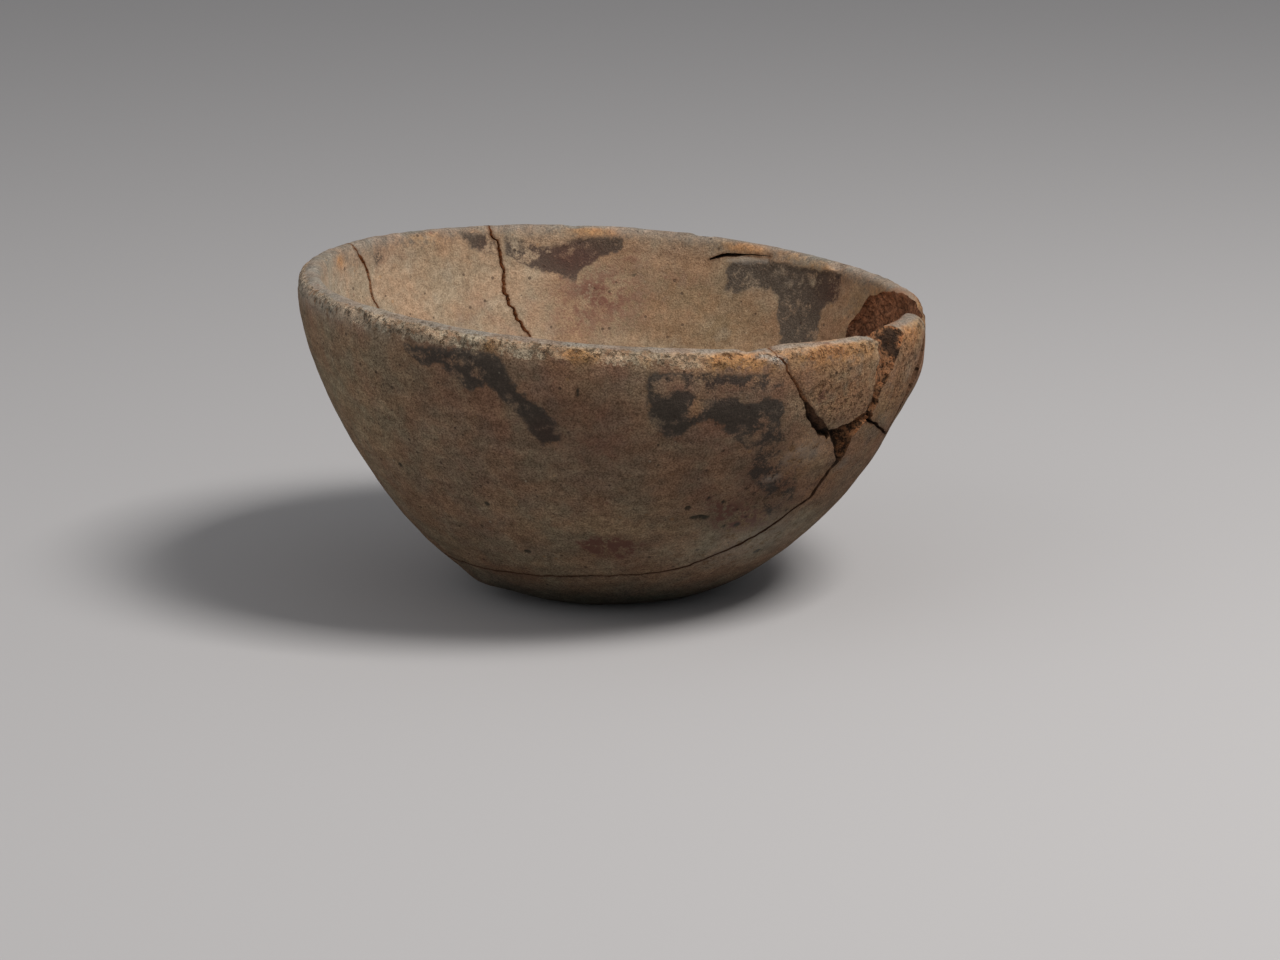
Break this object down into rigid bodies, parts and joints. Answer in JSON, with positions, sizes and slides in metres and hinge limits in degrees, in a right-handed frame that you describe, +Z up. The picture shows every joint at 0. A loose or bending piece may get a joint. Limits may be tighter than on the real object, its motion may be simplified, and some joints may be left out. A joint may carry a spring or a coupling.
{
  "type": "cracked earthenware bowl",
  "caption": "Small round-bottomed handmade earthenware bowl with a flaring wall and worn lip, broken and mended, with open cracks, lost chips and faded dark painted strokes.",
  "frame": {"origin": "middle of the flat underside", "axes": "+Z up out of the mouth; +X towards the low side of the lip, where the flake is lost inside; -Y towards the side with the mended sherds"},
  "size_m": [0.1225, 0.1236, 0.0631],
  "materials": {
    "fired_clay": "dry buff fired clay with worn dark paint and dirt in the cracks"
  },
  "bodies": {
    "root": {"bowl": "fired_clay"}
  },
  "joints": []
}
